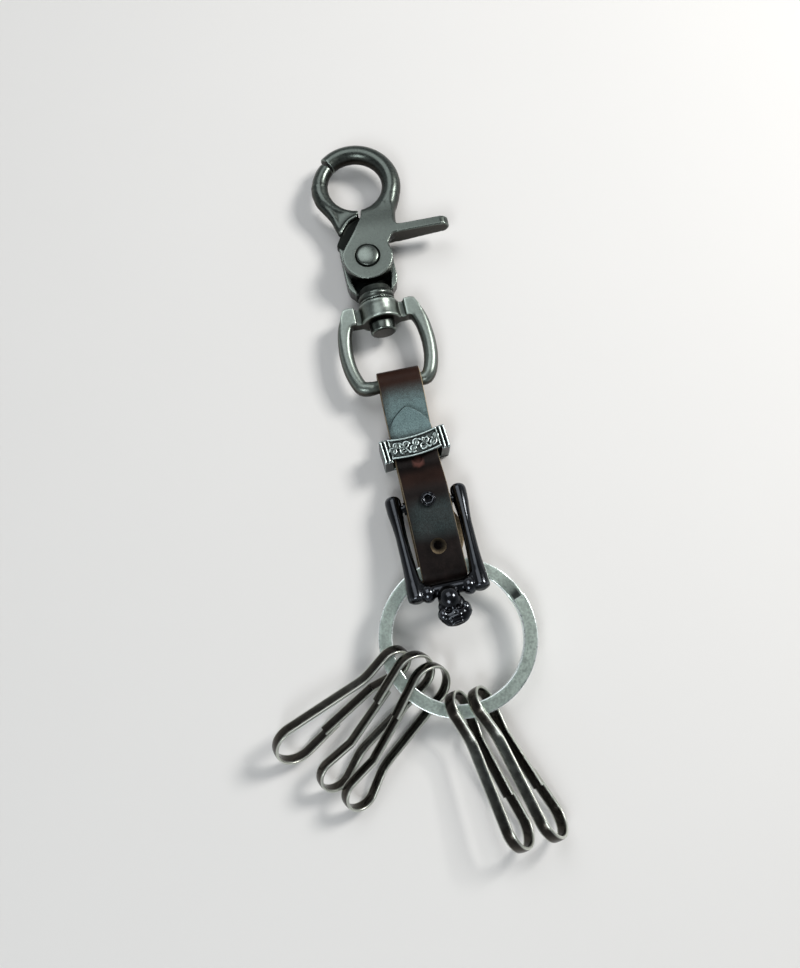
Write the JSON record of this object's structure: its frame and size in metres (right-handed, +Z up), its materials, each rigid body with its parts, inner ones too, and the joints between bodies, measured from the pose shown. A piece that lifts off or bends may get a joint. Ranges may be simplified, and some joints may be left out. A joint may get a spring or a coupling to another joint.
{
  "type": "key ring",
  "caption": "Key ring: trigger hook with swivel bail, folded leather strap with metal keeper, bow shackle with a skull end, flat split ring and spring key clips.",
  "frame": {"origin": "middle of the whole lying object, on the surface that it rests on", "axes": "+Y along the chain towards the trigger hook, +Z up off the surface, +X to the side of the thumb tab"},
  "size_m": [0.0626, 0.1658, 0.0132],
  "materials": {
    "strap_leather": "dark oxblood, semi-gloss, tan raw edges",
    "gunmetal": "satin gunmetal casting, worn bright edges",
    "black_nickel": "polished black nickel",
    "antique_silver": "antique silver, blackened recesses",
    "brushed_nickel": "pale antique nickel, brushed flats",
    "spring_steel": "dark gunmetal faces, bright polished edges"
  },
  "bodies": {
    "strap": {"leather_strap": "strap_leather", "stud_screw": "gunmetal", "back_screw": "gunmetal", "shackle_pin": "black_nickel"},
    "keeper": {"keeper_loop": "antique_silver"},
    "bow": {"shackle_bow": "black_nickel"},
    "ring": {"split_ring": "brushed_nickel"},
    "clip_1": {"clip_1_frame": "spring_steel"},
    "clip_1_tongue": {"clip_1_gate": "spring_steel"},
    "clip_2": {"clip_2_frame": "spring_steel"},
    "clip_2_tongue": {"clip_2_gate": "spring_steel"},
    "clip_3": {"clip_3_frame": "spring_steel"},
    "clip_3_tongue": {"clip_3_gate": "spring_steel"},
    "clip_4": {"clip_4_frame": "spring_steel"},
    "clip_4_tongue": {"clip_4_gate": "spring_steel"},
    "clip_5": {"clip_5_frame": "spring_steel"},
    "clip_5_tongue": {"clip_5_gate": "spring_steel"},
    "bail": {"swivel_bail": "gunmetal"},
    "hook": {"hook_body": "gunmetal", "trigger_rivet": "gunmetal", "trigger_spring": "spring_steel", "swivel_pin": "gunmetal"},
    "lever": {"trigger_lever": "gunmetal"}
  },
  "joints": [
    {"name": "keeper_slide", "type": "slide", "parent": "strap", "child": "keeper", "axis": [0, 1, 0], "range_m": [0, 0.003]},
    {"name": "bow_swing", "type": "hinge", "parent": "strap", "child": "bow", "pos_m": [0.01159, -0.00823, 0.00469], "axis": [-1, 0, 0], "range_deg": [0, 100]},
    {"name": "ring_swing", "type": "hinge", "parent": "strap", "child": "ring", "pos_m": [0.01159, -0.02343, 0.0055], "axis": [1, 0, 0], "range_deg": [-10, 25]},
    {"name": "clip_2_swing", "type": "hinge", "parent": "ring", "child": "clip_2", "pos_m": [-0.00196, -0.04565, 0.0055], "axis": [0.4848, -0.8746, 0], "range_deg": [-3, 18]},
    {"name": "clip_1_swing", "type": "hinge", "parent": "ring", "child": "clip_1", "pos_m": [-0.00367, -0.04083, 0.0055], "axis": [0.1736, -0.9848, 0], "range_deg": [-3, 18]},
    {"name": "clip_3_swing", "type": "hinge", "parent": "ring", "child": "clip_3", "pos_m": [0.00073, -0.04919, 0.0055], "axis": [0.7133, -0.7009, 0], "range_deg": [-3, 18]},
    {"name": "clip_4_swing", "type": "hinge", "parent": "ring", "child": "clip_4", "pos_m": [0.00872, -0.05337, 0.0055], "axis": [0.9826, -0.1857, 0], "range_deg": [-3, 18]},
    {"name": "clip_5_swing", "type": "hinge", "parent": "ring", "child": "clip_5", "pos_m": [0.01375, -0.05348, 0.0055], "axis": [0.9903, 0.1392, 0], "range_deg": [-3, 18]},
    {"name": "clip_1_gate_bend", "type": "hinge", "parent": "clip_1", "child": "clip_1_tongue", "pos_m": [-0.00873, -0.04458, 0.00414], "axis": [-0.3468, 0.6955, -0.6293], "range_deg": [0, 9], "stiffness_Nm_per_rad": 0.02},
    {"name": "clip_2_gate_bend", "type": "hinge", "parent": "clip_2", "child": "clip_2_tongue", "pos_m": [-0.01515, -0.0547, 0.00588], "axis": [-0.4041, 0.5582, -0.7247], "range_deg": [0, 9], "stiffness_Nm_per_rad": 0.02},
    {"name": "clip_3_gate_bend", "type": "hinge", "parent": "clip_3", "child": "clip_3_tongue", "pos_m": [-0.01132, -0.05908, 0.0059], "axis": [-0.4562, 0.5265, -0.7174], "range_deg": [0, 9], "stiffness_Nm_per_rad": 0.02},
    {"name": "clip_4_gate_bend", "type": "hinge", "parent": "clip_4", "child": "clip_4_tongue", "pos_m": [0.01099, -0.0592, 0.00398], "axis": [-0.8428, -0.1992, -0.5], "range_deg": [0, 9], "stiffness_Nm_per_rad": 0.02},
    {"name": "clip_5_gate_bend", "type": "hinge", "parent": "clip_5", "child": "clip_5_tongue", "pos_m": [0.0165, -0.05911, 0.00398], "axis": [-0.8236, -0.2676, -0.5], "range_deg": [0, 9], "stiffness_Nm_per_rad": 0.02},
    {"name": "bail_swing", "type": "hinge", "parent": "strap", "child": "bail", "pos_m": [0.01159, 0.02097, 0.0049], "axis": [1, 0, 0], "range_deg": [-60, 80]},
    {"name": "hook_swivel", "type": "hinge", "parent": "bail", "child": "hook", "pos_m": [0.01069, 0.03637, 0.0049], "axis": [0, 1, 0], "continuous": true},
    {"name": "trigger", "type": "hinge", "parent": "hook", "child": "lever", "pos_m": [0.01069, 0.05237, 0.0082], "axis": [0, 0, -1], "range_deg": [0, 24], "stiffness_Nm_per_rad": 0.05, "deforming": ["trigger_spring"]}
  ],
  "couplings": [
    {"joint": "clip_1_swing", "follows": "clip_2_swing", "ratio": 1},
    {"joint": "clip_3_swing", "follows": "clip_2_swing", "ratio": 1},
    {"joint": "clip_5_swing", "follows": "clip_4_swing", "ratio": 1}
  ]
}
